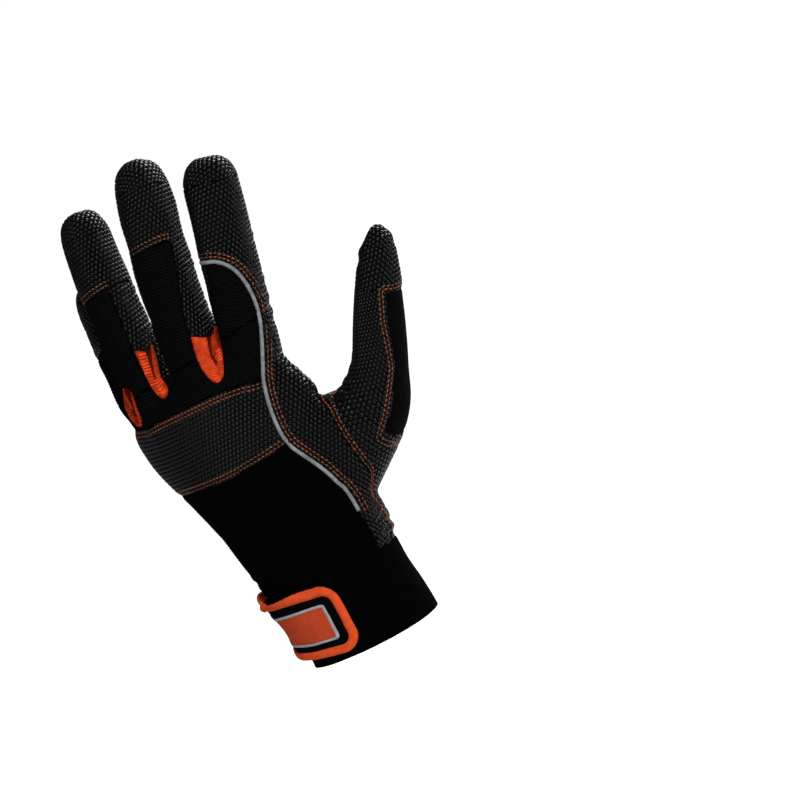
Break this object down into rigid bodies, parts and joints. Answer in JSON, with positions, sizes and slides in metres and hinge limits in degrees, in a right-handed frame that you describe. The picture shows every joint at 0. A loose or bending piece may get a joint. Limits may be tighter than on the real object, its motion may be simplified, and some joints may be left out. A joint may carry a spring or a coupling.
{
  "type": "padded work glove",
  "caption": "Left-hand padded work glove with embossed leather palm, ribbed knit back, grey piping, orange finger forks and a wrist strap.",
  "frame": {"origin": "centre of the wrist opening, on the cuff's rim plane", "axes": "+Z from the wrist opening up to the fingertips, -Y out of the back of the hand, +Y out of the palm, +X towards the thumb"},
  "size_m": [0.1689, 0.0746, 0.243],
  "materials": {
    "leather": "satin",
    "knit": "matte",
    "fabric": "matte",
    "plush": "matte",
    "orange_fabric": "matte",
    "label": "satin",
    "piping": "satin"
  },
  "bodies": {
    "root": {"back_panel": "fabric", "cuff": "fabric", "heel_pad": "leather", "index_finger_back": "knit", "index_finger_front": "leather", "index_lower_pad": "leather", "index_middle_fork": "orange_fabric", "index_middle_pad": "leather", "index_side_panel": "leather", "index_tip_pad": "leather", "knuckle_band": "leather", "knuckle_knit": "knit", "little_finger_back": "knit", "little_finger_front": "leather", "little_lower_pad": "leather", "little_tip_pad": "leather", "middle_finger_back": "knit", "middle_finger_front": "leather", "middle_lower_pad": "leather", "middle_middle_pad": "leather", "middle_ring_fork": "orange_fabric", "middle_tip_pad": "leather", "palm_panel": "leather", "reflective_piping": "piping", "ring_finger_back": "knit", "ring_finger_front": "leather", "ring_little_fork": "orange_fabric", "ring_lower_pad": "leather", "ring_middle_pad": "leather", "ring_tip_pad": "leather", "strap_binding": "orange_fabric", "strap_label": "label", "thumb_back_patch": "plush", "thumb_shell": "leather", "upper_palm_pad": "leather", "wrist_strap": "fabric"}
  },
  "joints": []
}
